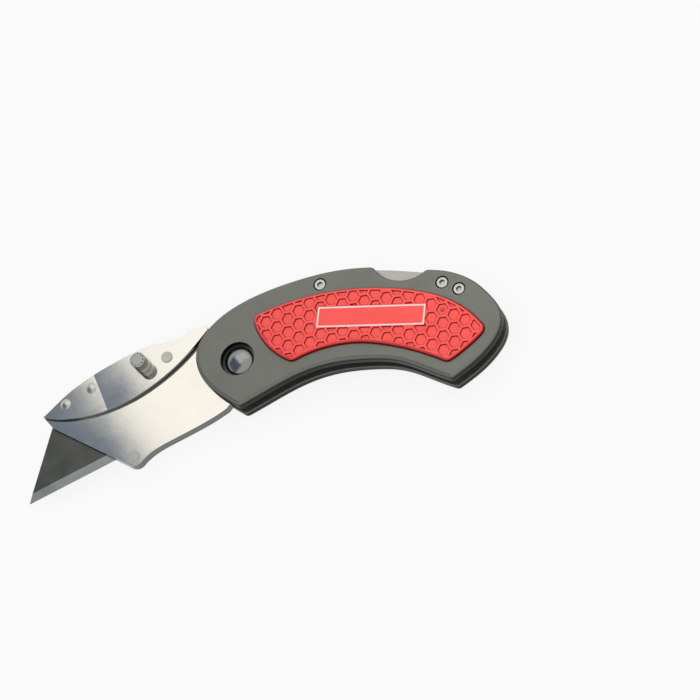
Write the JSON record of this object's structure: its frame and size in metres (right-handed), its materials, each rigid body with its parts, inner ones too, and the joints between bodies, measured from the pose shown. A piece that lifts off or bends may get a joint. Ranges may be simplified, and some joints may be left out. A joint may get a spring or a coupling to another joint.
{
  "type": "utility knife",
  "caption": "Folding lock-back utility knife: trapezoid blade in a riveted steel holder, grey aluminium scales with red honeycomb inlays, thumb stud and blade release.",
  "frame": {"origin": "centre of the bounding box in plan, on the back face that the closed side rests on", "axes": "+X from blade tip to handle tail, +Y towards the spine, +Z out of the side with the thumb stud"},
  "size_m": [0.1403, 0.0532, 0.0121],
  "materials": {
    "grey_anodised": "matt bead-blasted and anodised dark grey",
    "red_anodised": "satin anodised red",
    "pin_steel": "satin",
    "polished_steel": "polished",
    "screw_steel": "bright machined",
    "bronze": "plain rolled",
    "satin_steel": "satin",
    "spring_steel": "blued",
    "plate_steel": "bright stainless",
    "rivet_steel": "satin",
    "blade_steel": "dark carbon steel with a bright ground edge"
  },
  "bodies": {
    "handle": {"front_scale": "grey_anodised", "back_scale": "grey_anodised", "front_inlay": "red_anodised", "back_inlay": "red_anodised", "inlay_pins": "pin_steel", "pivot_barrel": "polished_steel", "pivot_screw": "polished_steel", "front_washer": "bronze", "back_washer": "bronze", "scale_screws": "screw_steel", "barrel_nuts": "screw_steel", "rear_spacer": "satin_steel", "lock_spring": "spring_steel"},
    "lock_rocker": {"lock_bar": "satin_steel"},
    "blade_holder": {"holder_back_plate": "plate_steel", "holder_front_plate": "plate_steel", "channel_spacer": "plate_steel", "nose_rivets": "rivet_steel", "bottom_rivet": "rivet_steel", "tang_rivet": "rivet_steel", "utility_blade": "blade_steel", "release_root": "plate_steel"},
    "release_lever": {"release_plate": "plate_steel", "blade_catch": "plate_steel", "thumb_stud": "rivet_steel", "catch_rivet": "rivet_steel"}
  },
  "joints": [
    {"name": "blade_fold", "type": "hinge", "parent": "handle", "child": "blade_holder", "pos_m": [-0.00035, 0.00863, 0.00445], "axis": [0, 0, 1], "range_deg": [0, 158]},
    {"name": "lock_press", "type": "hinge", "parent": "handle", "child": "lock_rocker", "pos_m": [0.02863, 0.01732, 0.00445], "axis": [0, 0, -1], "range_deg": [-1.5, 5], "stiffness_Nm_per_rad": 0.4, "springref_deg": -1.5, "deforming": ["lock_spring"]},
    {"name": "blade_release", "type": "hinge", "parent": "blade_holder", "child": "release_lever", "pos_m": [-0.03962, 0.00863, 0.00685], "axis": [0, -1, 0], "range_deg": [0, 8], "stiffness_Nm_per_rad": 0.4, "springref_deg": -2.86}
  ]
}
